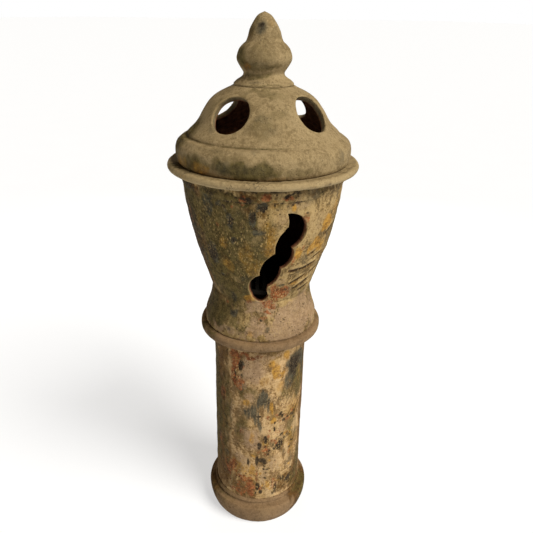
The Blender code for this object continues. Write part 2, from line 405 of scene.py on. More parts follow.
def mouth_cutter():
    """The mouth carried straight towards the axis, with a wavering, hand-cut wall."""
    outline = mouth_outline()
    azimuth = np.tile(np.degrees(outline.real / MOUTH_GAUGE), MOUTH_CUT_RINGS)
    radius = np.repeat(np.linspace(*MOUTH_CUT, MOUTH_CUT_RINGS), len(outline))
    points = from_polar(azimuth, radius, np.tile(outline.imag, MOUTH_CUT_RINGS))
    points[:, 0] += lean(points[:, 2])
    points = wavering(points, 9 * MM, MOUTH_WAVER, (21, 22, 23))
    return tube("mouth_cutter", points, len(outline), MOUTH_CUT_RINGS)


def vent_axis(azimuth, height):
    """A point in the middle of a vent, and the direction in which the vent looks out."""
    angle = math.radians(azimuth)
    centre = Vector((VENT_REACH * math.sin(angle) + lean(height), -VENT_REACH * math.cos(angle), height))
    return centre, direction(azimuth, VENT_TILT)


def vent_cutter(azimuth, height):
    centre, outwards = vent_axis(azimuth, height)
    turn = outwards.to_track_quat("Z", "Y").to_matrix()
    around = 2 * math.pi * np.arange(VENT_CUT_STEPS) / VENT_CUT_STEPS
    circle = np.stack((np.cos(around), np.sin(around), 0 * around), axis=1) * VENT_RADIUS
    depths = np.linspace(-VENT_CUT, VENT_CUT, VENT_CUT_RINGS) * MM
    points = np.concatenate([circle + (0, 0, depth) for depth in depths])
    points = wavering(points @ np.array(turn).T + np.array(centre), 14 * MM, VENT_WAVER, (24, 25, 26))
    return tube("vent_cutter", points, VENT_CUT_STEPS, VENT_CUT_RINGS)


def tube(name, points, columns, rings):
    """A closed, capped tube over rings of points."""
    faces = quads_round(rings, columns, False).tolist()
    faces.append(list(range(columns)))
    faces.append([(rings - 1) * columns + i for i in reversed(range(columns))])
    return mesh_object(name, points, faces, mend=face_outwards)


def vent_distance(points):
    """Distance outside the nearest vent's edge, measured from the vent's axis."""
    nearest = np.full(len(points), np.inf)
    for azimuth, height in VENTS:
        centre, axis = (np.array(vector) for vector in vent_axis(azimuth, height))
        away = points - centre
        along = away @ axis
        off_axis = np.linalg.norm(away - along[:, None] * axis, axis=1)
        nearest = np.minimum(nearest, np.where(along > BEHIND_VENT, off_axis, np.inf))
    return nearest - VENT_RADIUS


def worn_edge(distance, width):
    """How deep a worn edge sinks at this distance outside a cut, for a rounding of this width."""
    inward = np.clip(width - np.maximum(distance, 0), 0, None)
    return width - np.sqrt(np.maximum(width**2 - inward**2, 0))


# ---- marks on the clay

RAGGED = 7 * MM  # how far the edge of a small spot wanders
SPOT_FADE = (1.35, 0.35)  # a spot grows from nothing to full between these shares of its size
STROKE_FADE = (1.3, 0.2)
PIT_SEED = 70
PIT_RAGGED = 2.5 * MM


def blots(spots, azimuth, radius, height, points, seed=0, ragged=RAGGED):
    """How strongly the spots cover each point. A spot is (azimuth, height, half width, half height, strength)
    with its lengths in mm."""
    drift, rise = (fractal(points * (1, 1, 0.6), 0.022, 4, seed + more) for more in (31, 37))
    cover = np.zeros(len(points))
    for middle, level, wide, tall, strength in spots:
        reach = ragged * (0.6 + wide / 12)
        across = unrolled(azimuth, middle, radius) + reach * drift
        away = np.hypot(across / (wide * MM), (height - level * MM + reach * rise) / (tall * MM))
        cover = np.maximum(cover, strength * ease(*SPOT_FADE, away))
    return cover


def strokes(marks, azimuth, radius, height):
    """How deep each point lies in the tapering strokes of a tool, from 0 to 1. A stroke is the azimuth and
    height of its two ends and its half width, with lengths in mm."""
    depth = np.zeros(len(azimuth))
    for first, low, last, high, wide in marks:
        side = complex(math.radians(last - first) * np.median(radius), (high - low) * MM)
        along, away = beside(unrolled(azimuth, first, radius) + 1j * height, 1j * low * MM, side)
        taper = wide * MM * (0.35 + 0.65 * np.sin(np.pi * np.clip(along, 0.02, 0.98)) ** 0.6)
        depth = np.maximum(depth, ease(*STROKE_FADE, away / taper))
    return depth


def scattered(count, seed, azimuth_range, height_range, size_range, strength_range=(0.4, 1.0)):
    """Spots at random places, with lengths in mm."""
    random = np.random.default_rng(seed)
    low, high = zip(azimuth_range, height_range, size_range, size_range, strength_range)
    return random.uniform(low, high, (count, 5)).tolist()


def scatter(washes, *rows):
    """Add random spots to the washes. A row names a wash and then holds what scattered takes."""
    for name, *row in rows:
        washes[name] += scattered(*row)


def haloes(spots, spread, share):
    """Wider, fainter spots round the given ones."""
    return [(*place, wide * spread, tall * spread, share * dose) for *place, wide, tall, dose in spots]


def attach(obj, name, values):
    attribute = obj.data.attributes.new(name, "FLOAT", "POINT")
    attribute.data.foreach_set("value", np.maximum(values, 0).astype(np.float32))


def vertices(obj):
    points = np.empty(len(obj.data.vertices) * 3)
    obj.data.vertices.foreach_get("co", points)
    return points.reshape(-1, 3)


# Each wash: its light and its dark tone, the strength at which it covers most, and how much it then covers
WASHES = {
    "umber": ((0.15, 0.074, 0.018, 1), (0.048, 0.022, 0.006, 1), 0.84, 0.86),
    "olive": ((0.125, 0.097, 0.031, 1), (0.044, 0.034, 0.01, 1), 0.84, 0.88),
    "pink": ((0.4, 0.274, 0.166, 1), (0.28, 0.182, 0.104, 1), 0.84, 0.8),
    "slate": ((0.09, 0.084, 0.057, 1), (0.032, 0.032, 0.024, 1), 1.2, 0.9),
    "ochre": ((0.56, 0.3, 0.05, 1), (0.25, 0.12, 0.02, 1), 1.0, 0.84),
    "red": ((0.4, 0.138, 0.05, 1), (0.105, 0.028, 0.01, 1), 0.84, 0.92),
    "dark": ((0.048, 0.035, 0.022, 1), (0.016, 0.012, 0.008, 1), 0.84, 0.94),
}
FAINTEST = 0.16  # a weaker wash doesn't show


def paint(obj, washes, marks=None, ragged=RAGGED):
    """Attributes that the clay material reads. washes names each one's spots, and marks each one's values."""
    points = vertices(obj)
    azimuth, radius, height = polar(points)
    values = {name: 0 * height for name in (*WASHES, "crust", "bare", "soot", "edge")}
    for seed, name in enumerate((*WASHES, "crust")):
        if washes.get(name):
            values[name] = blots(washes[name], azimuth, radius, height, points, 10 * seed, ragged)
    for name, more in (marks or {}).items():
        values[name] = np.maximum(values[name], more)
    for name, cover in values.items():
        attach(obj, name, cover)


def depth_below(node, radius, height):
    """Distance of each point from the node's outer face."""
    outline, _ = outline_of(node)
    place = radius + 1j * height
    nearest = np.full(place.shape, np.inf)
    for start, end in zip(outline, np.roll(outline, -1, axis=0)):
        side = complex(*(end - start))
        if side.imag < 0.3 * abs(side):
            continue
        nearest = np.minimum(nearest, beside(place, complex(*start), side)[1])
    return nearest


# ---- materials


class Look:
    """The node tree of a material or of the sky, built one call at a time."""

    def __init__(self, owner, shader="Principled BSDF"):
        owner.use_nodes = True
        self.owner, self.tree = owner, owner.node_tree
        self.shader = self.tree.nodes[shader]

    def node(self, kind, settings=None, **inputs):
        new = assign(self.tree.nodes.new("ShaderNode" + kind), settings or {})
        self.fill(new, inputs)
        return new

    def fill(self, node, inputs):
        for name, value in inputs.items():
            self.feed(node.inputs[name.replace("_", " ")], value)

    def feed(self, socket, value):
        if isinstance(value, bpy.types.NodeSocket):
            self.tree.links.new(value, socket)
        else:
            socket.default_value = value

    def surface(self, **inputs):
        self.fill(self.shader, inputs)

    def bump(self, height, distance, strength):
        made = self.node("Bump", Strength=strength, Distance=distance, Height=height)
        return made.outputs["Normal"]

    def place(self, *scale):
        """The place on the object, squeezed by this scale along each axis."""
        place = self.node("TexCoord").outputs["Object"]
        return self.node("Mapping", Vector=place, Scale=scale).outputs["Vector"] if scale else place

    def noise(self, place, scale, detail=3.0, roughness=0.55, distortion=0.0):
        inputs = {"Scale": scale, "Detail": detail, "Roughness": roughness, "Distortion": distortion}
        return self.node("TexNoise", Vector=place, **inputs).outputs["Fac"]

    def cells(self, place, scale):
        """Distance from the middle of the nearest of scattered cells."""
        return self.node("TexVoronoi", Vector=place, Scale=scale).outputs["Distance"]

    def attribute(self, name):
        return self.node("Attribute", {"attribute_name": name}).outputs["Fac"]

    def math(self, operation, *values):
        made = self.node("Math", {"operation": operation})
        for socket, value in zip(made.inputs, values):
            self.feed(socket, value)
        return made.outputs[0]

    def times(self, first, second):
        return self.math("MULTIPLY", first, second)

    def stirred(self, base, value, amount):
        """base, moved up and down as a noise goes above and below its middle."""
        return self.math("MULTIPLY_ADD", self.math("SUBTRACT", value, 0.5), amount, base)

    def ramp(self, value, low, high, from_value=0.0, to_value=1.0):
        """value eased from from_value to to_value as it goes from low to high."""
        made = self.node("MapRange", {"interpolation_type": "SMOOTHSTEP"}, Value=value)
        for socket, number in zip(list(made.inputs)[1:5], (low, high, from_value, to_value)):
            self.feed(socket, number)
        return made.outputs[0]

    def mix(self, factor, first, second):
        made = self.node("Mix", {"data_type": "RGBA"})
        self.feed(made.inputs[0], factor)
        self.feed(made.inputs[6], first)
        self.feed(made.inputs[7], second)
        return made.outputs[2]

    def colours(self, value, *stops):
        """A colour ramp over (position, colour) stops."""
        made = self.node("ValToRGB", Fac=value)
        elements = made.color_ramp.elements
        for element, (position, colour) in zip(elements, (stops[0], stops[-1])):
            element.position, element.color = position, colour
        for position, colour in stops[1:-1]:
            elements.new(position).color = colour
        return made.outputs["Color"]


def shade(colour, factor):
    return (*(channel * factor for channel in colour[:3]), 1)


# Pale, middle and deep tones of each clay body
MOTTLED = ((0.45, 0.32, 0.146, 1), (0.315, 0.214, 0.09, 1), (0.15, 0.098, 0.04, 1))
CREAMY = ((0.575, 0.396, 0.203, 1), (0.415, 0.27, 0.125, 1), (0.205, 0.122, 0.05, 1))
TAN = ((0.385, 0.294, 0.158, 1), (0.322, 0.24, 0.123, 1), (0.205, 0.148, 0.071, 1))
BROWN = ((0.275, 0.182, 0.096, 1), (0.24, 0.155, 0.082, 1), (0.18, 0.114, 0.058, 1))
WARM = (0.42, 0.27, 0.085, 1)
COOL = (0.17, 0.15, 0.095, 1)
CRUST = ((0.56, 0.4, 0.17, 1), (0.3, 0.19, 0.07, 1))
TERRACOTTA = ((0.285, 0.128, 0.064, 1), (0.12, 0.05, 0.024, 1))
SOOT = (0.04, 0.016, 0.009, 1)
GRIME = (0.02, 0.015, 0.01, 1)
IRON = ((0.006, 0.006, 0.005, 1), (0.012, 0.009, 0.007, 1), (0.04, 0.015, 0.007, 1))  # the last is rust
BLACK_IRON = (0.004, 0.004, 0.003, 1)
CLAY_SHINE = 0.05
IRON_SHINE = 0.08


def clay(name, tones, mottle, specks, breakup):
    """Fired clay: tones of one body, ragged washes and painted shade where the masks are strong, pale edges,
    specks and a sandy grain.
    """
    pale, middle, deep = tones
    look = Look(bpy.data.materials.new(name))
    place, brushed = look.place(), look.place(1, 1, 0.45)
    broad = look.noise(place, 11, 4, 0.6)
    patchy = look.noise(brushed, 42, 5, 0.62, 0.5)
    fine = look.noise(place, 150, 4, 0.68)
    grain = look.noise(place, 620, 3, 0.6)
    bands = look.noise(look.place(0.3, 0.3, 2.6), 55, 4, 0.6)
    smear = look.noise(brushed, 75, 4, 0.7, 0.6)
    flakes = look.noise(place, 160, 3, 0.7, 1.4)

    tone = look.stirred(0.5, broad, mottle)
    tone = look.stirred(tone, bands, 0.28 * mottle**2)
    tone = look.stirred(tone, patchy, 1.2 * mottle)
    tone = look.stirred(tone, fine, 0.25 + 0.9 * mottle)
    colour = look.colours(tone, (0.26, shade(deep, 0.8)), (0.42, deep), (0.52, middle), (0.7, pale))
    warm = look.ramp(look.noise(place, 19, 4, 0.65), 0.5, 0.66, 0, 0.42 * mottle**2)
    colour = look.mix(warm, colour, WARM)
    cool = look.ramp(look.noise(brushed, 23, 4, 0.65, 0.3), 0.53, 0.68, 0, 0.45 * mottle**2)
    colour = look.mix(cool, colour, COOL)

    ragged = look.stirred(look.stirred(1.0, smear, 3.0 * breakup), fine, 2.6 * breakup)
    chipped = look.stirred(0.95, flakes, 9.0 * breakup)
    # The washes, some of whose spots are painted shade, from the lowest up. shift leads from the light tone
    # of each one to its dark tone.
    shift = look.ramp(look.stirred(look.noise(place, 95, 3, 0.6), bands, 0.3 * mottle), 0.29, 0.71)
    for mask, (light, dark, full, cover) in WASHES.items():
        strength = look.times(look.attribute(mask), chipped if mask == "red" else ragged)
        wash = look.mix(shift, light, dark)
        colour = look.mix(look.ramp(strength, FAINTEST, full, 0, cover), colour, wash)

    crusty = look.times(look.attribute("crust"), ragged)
    crowd = look.math("MAXIMUM", look.ramp(look.noise(place, 24, 2), 0.46, 0.62), crusty)
    dot = look.times(look.ramp(look.cells(place, 170), 0.32, 0.12), crowd)
    colour = look.mix(look.times(dot, 0.8 * specks), colour, shade(deep, 0.25))
    sand = look.times(look.ramp(look.cells(place, 300), 0.34, 0.1, 0, 0.5 * specks), fine)
    colour = look.mix(sand, colour, shade(pale, 1.35))
    flecks = look.times(look.ramp(look.cells(brushed, 230), 0.42, 0.2), crusty)
    colour = look.mix(flecks, colour, look.mix(shift, *CRUST))
    colour = look.mix(look.ramp(grain, 0.38, 0.62, 0.42, 0.0), colour, look.mix(0.62, colour, GRIME))

    # Pale edges: wear and a painted highlight on the mouth's edge, and painted highlights on the ridges above
    # the scratches and on the rim's outer edge
    colour = look.mix(look.times(look.attribute("edge"), 0.75), colour, shade(pale, 1.15))
    colour = look.mix(look.attribute("bare"), colour, look.mix(shift, *TERRACOTTA))
    colour = look.mix(look.attribute("soot"), colour, SOOT)
    height = look.math("MULTIPLY_ADD", grain, 0.45, fine)
    height = look.math("MULTIPLY_ADD", dot, -0.8, height)
    height = look.math("MULTIPLY_ADD", smear, 0.7, height)
    rough = look.ramp(patchy, 0.3, 0.7, 0.68, 0.92)
    normal = look.bump(height, 1.6 * MM, 0.8)
    look.surface(Base_Color=colour, Roughness=rough, Specular_IOR_Level=CLAY_SHINE, Normal=normal)
    return look.owner


def cast_iron(name):
    """Sooty cast iron with rust showing through."""
    look = Look(bpy.data.materials.new(name))
    patchy = look.noise(look.place(), 60, 5, 0.65)
    fine = look.noise(look.place(), 420, 3, 0.6)
    colour = look.colours(patchy, *zip((0.35, 0.6, 0.75), IRON))
    colour = look.mix(look.ramp(fine, 0.4, 0.65, 0, 0.75), colour, BLACK_IRON)
    rough = look.ramp(fine, 0.3, 0.7, 0.75, 0.95)
    normal = look.bump(fine, 0.6 * MM, 0.6)
    look.surface(Base_Color=colour, Roughness=rough, Specular_IOR_Level=IRON_SHINE, Normal=normal)
    return look.owner


# ---- pieces


def finish_piece(obj, body, node, material):
    obj.data.materials.clear()
    obj.data.materials.append(material)
    obj.data.shade_smooth()
    obj.data.set_sharp_from_angle(angle=math.radians(SHARPEST))
    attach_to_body(obj, body)
    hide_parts(node)


def plain_piece(body, node, material, relief, washes, azimuths=None, ragged=RAGGED):
    """A piece that has washes and no marks of its own."""
    piece = turned(node, relief, azimuths)
    paint(piece, washes, ragged=ragged)
    finish_piece(piece, body, node, material)


def rings(height, pitch, depth, seed):
    """Throwing rings: soft ridges round the piece, uneven in height."""
    column = np.stack((0 * height, 0 * height, height), axis=1)
    return depth * noise(column, pitch, seed)


def groove(height, level, width):
    """1 in the middle of a groove at this level, falling to 0 a width away."""
    return ease(1, 0, abs(height - level) / width)


def pitted(spots, azimuth, radius, height, points):
    """How deep each point lies in the pits, from 0 to 1."""
    return blots(spots, azimuth, radius, height, points, PIT_SEED, PIT_RAGGED)


BOWL_PITS = scattered(150, 5, (-90, 90), (675, 925), (1.2, 3.2))
BOWL_PITS += scattered(90, 6, (90, 270), (675, 925), (1.5, 3.6))
BOWL_PITS += scattered(36, 7, (-40, 25), (905, 935), (2.0, 4.5))
SHARPEST = 50.0  # an edge that turns more than this many degrees is shaded sharp
BELLY_SHARE = 0.88  # radius at which the bowl's points are spaced, as a share of its widest
WAIST = 0.6655
BELLY = (0.665, 0.685)  # the wall turns lumpy between these heights
SHOULDER = (0.922, 0.911)  # a bead and the groove below it, under the rim
UNDER_RIM = 0.938  # painted shade under the rim, and on the step below it
STEP = 0.912
RIDGE_RISE = 7 * MM  # a ridge is left this far above each scratch
SKIN = 3.5 * MM  # what lies deeper is the cut wall of the mouth, or inside
PALE_EDGE = (-30, 60)  # azimuths between which the mouth's edge is painted pale, as wear and as a painted highlight
MOUTH_EDGE = (1.7, 0.9)  # width of the rounding and how much it varies, in mm
# Scratches that sweep up to the right of the mouth: azimuth and height of both ends, half width, in mm
BOWL_STROKES = (
    (24, 748, 38, 749, 4.6), (36, 748, 54, 755, 5.0), (28, 712, 42, 726, 5.4), (34, 696, 50, 712, 6.6),
    (40, 781, 48, 787, 4.6), (42, 686, 62, 698, 4.0), (56, 822, 68, 838, 5.5), (50, 727, 64, 737, 3.6),
    (46, 768, 60, 778, 2.4), (66, 760, 76, 770, 3.4),
)
# The broad umber and olive rows at azimuth -55 and further left paint shade on the bowl's left side along
# with its stains, and thin rows from 922 to 934 mm paint shade under the rim
BOWL_WASHES = {
    "umber": [
        (-68, 800, 60, 140, 1.8), (-60, 922, 60, 20, 1.6), (-36, 775, 40, 80, 1.3),
        (-68, 630, 50, 60, 0.95), (45, 650, 60, 18, 0.42), (-18, 700, 40, 30, 0.5), (-10, 930, 90, 9, 0.9),
        (4, 790, 22, 50, 0.45), (40, 930, 60, 6, 0.5), (-40, 880, 40, 40, 0.6),
    ],
    "olive": [
        (-60, 880, 60, 60, 1.6), (-30, 860, 80, 80, 1.5), (-44, 740, 56, 80, 1.0), (-15, 925, 80, 12, 0.9),
        (-14, 790, 54, 84, 0.92), (3, 840, 34, 70, 0.6), (34, 934, 60, 7, 0.45), (-24, 690, 56, 56, 0.85),
        (30, 690, 40, 24, 0.45), (-58, 620, 56, 56, 0.85), (74, 700, 20, 60, 0.6), (70, 830, 16, 80, 0.55),
        (10, 905, 40, 12, 0.45), (0, 740, 24, 40, 0.5), (-28, 610, 40, 40, 0.6), (44, 690, 50, 26, 0.42),
    ],
    "pink": [
        (30, 610, 120, 50, 1.3), (50, 650, 60, 20, 0.6), (4, 660, 36, 20, 0.8), (18, 725, 12, 14, 0.5),
        (30, 690, 22, 20, 0.45), (12, 880, 20, 26, 0.4), (27, 905, 34, 16, 0.42), (46, 870, 60, 40, 0.3),
        (14, 590, 110, 18, 1.2), (-40, 590, 40, 14, 0.6),
    ],
    "crust": [
        (8, 885, 34, 30, 0.9), (6, 835, 20, 40, 0.7), (-12, 905, 40, 16, 0.55), (40, 775, 60, 60, 0.3),
        (10, 600, 40, 12, 0.4), (8, 635, 30, 12, 0.4), (16, 682, 30, 26, 0.8), (24, 620, 90, 30, 0.35),
        (-24, 820, 50, 60, 0.6), (-40, 850, 60, 80, 0.45), (-12, 770, 44, 70, 0.5),
    ],
    "slate": [
        (-16, 875, 44, 44, 0.4), (-12, 828, 36, 34, 0.36), (-22, 873, 9, 22, 1.4), (-7, 882, 8, 22, 1.5),
        (0, 900, 14, 11, 1.5), (-30, 905, 10, 9, 1.2), (-40, 895, 22, 24, 0.9), (-3, 852, 17, 8, 1.2),
        (-21, 828, 8, 9, 1.2), (-42, 780, 18, 28, 1.4), (-37, 732, 7, 6, 0.9), (-31, 674, 10, 18, 0.7),
        (-31, 636, 14, 10, 1.2), (-33, 597, 10, 7, 0.6), (7, 603, 8, 9, 1.1), (-15, 735, 16, 12, 0.55),
        (21, 711, 11, 6, 0.9), (27, 698, 7, 6, 0.95), (62, 832, 14, 12, 0.8), (70, 700, 20, 44, 0.5),
        (-25, 895, 7, 8, 0.8), (46, 646, 70, 20, 0.36), (-14, 700, 30, 50, 0.4), (-50, 620, 40, 40, 0.3),
    ],
    "ochre": [
        (-28, 815, 13, 18, 0.56), (-30, 768, 18, 28, 0.52), (-52, 850, 16, 26, 0.36), (6, 825, 20, 44, 0.6),
        (22, 900, 9, 9, 0.85), (55, 852, 22, 20, 1.5), (47, 800, 28, 20, 1.25), (-12, 800, 20, 40, 0.45),
        (-11, 676, 15, 12, 0.9), (34, 708, 16, 10, 0.6), (-60, 765, 12, 46, 0.35), (8, 908, 12, 10, 0.6),
        (-6, 760, 26, 28, 0.5), (66, 880, 22, 26, 0.6), (-8, 592, 12, 12, 0.5), (2, 870, 16, 26, 0.45),
        (31, 790, 11, 18, 1.2), (50, 740, 30, 10, 0.45), (45, 720, 24, 8, 0.45), (62, 770, 18, 30, 0.45),
    ],
    "red": [
        (32, 876, 7, 15, 0.85), (33, 802, 10, 12, 0.45), (18, 694, 20, 15, 1.5), (26, 686, 12, 9, 1.2),
        (9, 661, 18, 8, 1.4), (3, 670, 12, 6, 0.9), (12, 676, 16, 10, 1.0), (-13, 672, 8, 6, 0.5),
        (12, 708, 8, 12, 1.1), (-12, 918, 10, 10, 1.1), (3, 925, 9, 10, 1.2), (16, 918, 14, 6, 1.0),
        (8, 643, 18, 5, 0.9), (-33, 858, 5, 6, 0.6), (-40, 655, 9, 6, 0.5), (27, 778, 6, 14, 0.55),
        (3, 628, 16, 4, 0.55), (-20, 905, 5, 5, 0.5), (-56, 840, 6, 8, 0.45), (-66, 858, 7, 34, 0.8),
    ],
    "dark": [
        (-7, 884, 6, 15, 1.2), (1, 902, 9, 8, 1.3), (-22, 872, 5, 13, 0.85), (-43, 780, 13, 24, 1.2),
        (-4, 856, 13, 5, 0.7), (-26, 900, 6, 6, 0.8), (-20, 828, 6, 7, 0.65), (-44, 860, 8, 14, 0.6),
        (27, 697, 5, 4, 0.95), (-37, 731, 4, 4, 0.8), (0, 628, 5, 3, 0.95), (62, 834, 9, 7, 0.8),
        (-10, 916, 12, 4, 0.9), (-26, 902, 4, 4, 0.7), (20, 930, 22, 4, 0.8), (44, 924, 16, 3, 0.55),
        (-32, 636, 6, 5, 0.5), (-31, 676, 4, 8, 0.55), (45, 690, 12, 6, 0.65), (31, 886, 5, 3, 0.8),
    ],
}
BOWL_WASHES["olive"] += [(105, 800, 90, 110, 0.55), (185, 760, 90, 130, 0.5), (255, 820, 60, 110, 0.9)]
BOWL_WASHES["umber"] += [(120, 680, 60, 60, 0.5), (165, 850, 60, 60, 0.5), (230, 700, 70, 80, 0.6)]
BOWL_WASHES["umber"] += haloes(BOWL_WASHES["dark"], 2.2, 0.55) + haloes(BOWL_WASHES["red"], 1.6, 0.4)
# Broad painted shade down the bowl's left side and under the rim, and a dark stripe at the left edge
BOWL_WASHES["dark"] += [(-68, 800, 44, 140, 0.6), (-62, 926, 50, 18, 0.62)]
BOWL_WASHES["dark"] += [(-32, 927, 44, 12, 0.5), (-69, 858, 8, 40, 0.9)]
scatter(
    BOWL_WASHES,
    ("slate", 22, 11, (80, 270), (600, 915), (8, 30)),
    ("ochre", 18, 12, (80, 270), (680, 915), (8, 28)),
    ("red", 16, 13, (80, 270), (650, 915), (5, 14)),
)


def bowl_relief(azimuth, radius, height, points):
    edge = mouth_distance(azimuth, height)
    near_mouth = ease(12 * MM, 2 * MM, edge)
    width = (MOUTH_EDGE[0] + MOUTH_EDGE[1] * noise(points, 11 * MM, 41)) * MM
    belly = ease(*BELLY, height)
    right = 0.4 + 0.6 * ease(-10, 40, azimuth)
    relief = rings(height, 5 * MM, 0.35 * MM, 42) * right + rings(height, 26 * MM, 0.4 * MM, 43)
    relief += belly * 0.95 * MM * fractal(points, 0.015, 3, 44)
    relief -= 1.5 * MM * pitted(BOWL_PITS, azimuth, radius, height, points) * (1 - near_mouth)
    relief -= 2.4 * MM * strokes(BOWL_STROKES, azimuth, radius, height)
    relief += 1.0 * MM * strokes(BOWL_STROKES, azimuth, radius, height - RIDGE_RISE)
    relief += 1.2 * MM * groove(height, SHOULDER[0], 6 * MM) - 1.2 * MM * groove(height, SHOULDER[1], 4 * MM)
    relief -= 1.3 * MM * groove(height, WAIST, 5 * MM)
    return relief - worn_edge(edge, width)


def centred(points):
    """The points without the lean, so that distances from the axis are true."""
    return points - leaning(points[:, 2])


def make_bowl(material, rim_material):
    azimuths = azimuths_for(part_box("bowl_body")[1].x * BELLY_SHARE)
    body = turned("bowl_body", bowl_relief, azimuths)
    cut(body, [mouth_cutter()])
    points = vertices(body)
    azimuth, radius, height = polar(centred(points))
    depth = depth_below("bowl_body", radius, height)
    outside = depth < SKIN
    edge = mouth_distance(azimuth, height)
    rough = noise(points, 0.013, 53)
    lines = strokes(BOWL_STROKES, azimuth, radius, height)
    ridges = strokes(BOWL_STROKES, azimuth, radius, height - RIDGE_RISE)
    pits = 0.9 * pitted(BOWL_PITS, azimuth, radius, height, points)
    # Painted shade under the rim, lighter towards the lit right, and painted shade in the groove of the step
    # below it
    under_rim_shade = (0.65 + 0.45 * rough) * groove(height, UNDER_RIM, 11 * MM)
    under_rim_shade *= 1 - 0.5 * ease(20, 60, azimuth)
    step = (0.5 + 0.6 * rough) * groove(height, STEP, 4 * MM) * ease(60, 20, abs(azimuth))
    # Pale wear and a painted highlight along the mouth's edge, and a painted highlight on the ridges above
    # the scratches
    in_view = (azimuth > PALE_EDGE[0]) & (azimuth < PALE_EDGE[1])
    wear_and_highlight = ease(3.0 * MM, 0.5 * MM, edge + 1.2 * MM * rough) * in_view
    marks = {
        "umber": 1.5 * lines * outside,
        "dark": np.maximum.reduce([0.75 * lines, pits, under_rim_shade, step]) * outside,
        "bare": ease(2.0 * MM, 4.5 * MM, depth + 1.0 * MM * rough) * ease(30 * MM, 20 * MM, edge),
        "soot": ease(7 * MM, 12 * MM, depth + 2 * MM * noise(points, 0.02, 52)),
        "edge": np.maximum(0.45 * wear_and_highlight, 0.5 * ridges) * outside,
    }
    paint(body, BOWL_WASHES, marks)
    finish_piece(body, "bowl", "bowl_body", material)

    plain_piece("bowl", "bowl_foot", material, plain_relief, BOWL_WASHES, azimuths)

    rim = turned("bowl_rim", rim_relief)
    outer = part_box("bowl_rim")[1].x
    radius = polar(centred(vertices(rim)))[1]
    # Painted highlight along the rim's outer edge
    paint(rim, RIM_WASHES, {"edge": 0.4 * ease(outer - 8 * MM, outer, radius)})
    finish_piece(rim, "bowl", "bowl_rim", rim_material)


def plain_relief(azimuth, radius, height, points):
    return rings(height, 5 * MM, 0.3 * MM, 42) + 0.35 * MM * fractal(points, 0.012, 3, 45)


RIM_WASHES = {
    "olive": [
        (-66, 950, 50, 14, 0.7), (120, 950, 50, 12, 0.5), (200, 950, 60, 12, 0.5), (-30, 958, 50, 3, 0.5),
    ],
    "slate": [(-60, 950, 40, 14, 0.45), (-28, 948, 20, 4, 0.4)],
    "ochre": [(-50, 947, 30, 6, 0.45), (30, 946, 40, 4, 0.35)],
    # The thin dark rows at 942 mm are painted shade along the rim's lower edge
    "dark": [
        (-5, 942, 90, 2.2, 0.8), (40, 942, 60, 2.0, 0.65), (-60, 942, 60, 3, 0.75),
        (180, 942, 300, 2.2, 0.6),
    ],
}


def rim_relief(azimuth, radius, height, points):
    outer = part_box("bowl_rim")[1].x
    spread = 2.2 * MM * ease(outer - 14 * MM, outer, radius)
    chips = 0.6 * MM * ease(0.2, 0.7, noise(points, 8 * MM, 47))
    return spread + 0.4 * MM * fractal(points, 0.015, 3, 46) - chips


VENT_EDGE = (3.2, 0.8)  # width of the rounding and how much it varies, in mm
VENTS_START = 0.97
LID_RAGGED = 3 * MM
LID_SEAT = 0.9585  # where the dome meets the rim; painted shade lies along it
LID_BEAD = 1.008
LID_CREASE = 1.0142
LID_SMOKE = (1.01, 1.06)  # soot grows inside the dome between these heights
FINIAL_GAUGE = 0.075  # radius at which the finial's points are spaced
# The olive and umber rows at azimuth -70 and further left paint shade on the lid's left side, and the thin
# olive row at 1104 mm paints shade under the finial's collar
LID_WASHES = {
    "olive": [
        (-78, 1000, 60, 60, 0.8), (-48, 978, 60, 22, 0.7), (-10, 978, 80, 22, 0.95),
        (-50, 1075, 50, 30, 0.36), (22, 972, 50, 12, 0.45), (-20, 1002, 60, 10, 0.42),
        (0, 1050, 44, 30, 0.42), (14, 1070, 26, 12, 0.42), (0, 1104, 60, 6, 0.5), (90, 1000, 40, 50, 0.3),
        (200, 1000, 90, 60, 0.4), (250, 1040, 70, 50, 0.5),
    ],
    "slate": [
        (-24, 980, 26, 18, 0.6), (-6, 980, 50, 15, 0.46), (18, 984, 24, 14, 0.3), (0, 1065, 24, 10, 0.44),
        (6, 1040, 26, 10, 0.46), (-5, 1012, 10, 7, 0.42), (57, 985, 14, 22, 0.66), (-45, 1037, 14, 9, 0.5),
    ],
    "ochre": [(-40, 969, 34, 16, 0.55), (-62, 973, 34, 14, 0.5), (8, 962, 36, 5, 0.35)],
    "umber": [(-42, 970, 60, 16, 0.55), (-75, 1000, 30, 60, 0.55), (-70, 966, 40, 10, 0.6)],
    "dark": [(-30, 985, 4, 4, 0.35), (-2, 1011, 5, 3, 0.35), (57, 990, 5, 8, 0.3)],
}
scatter(
    LID_WASHES,
    ("slate", 18, 14, (80, 275), (965, 1100), (8, 28), (0.3, 0.8)),
    ("ochre", 9, 15, (85, 275), (965, 1100), (10, 26), (0.3, 0.8)),
)
LID_PITS = scattered(70, 16, (-180, 180), (962, 1100), (0.9, 2.0))
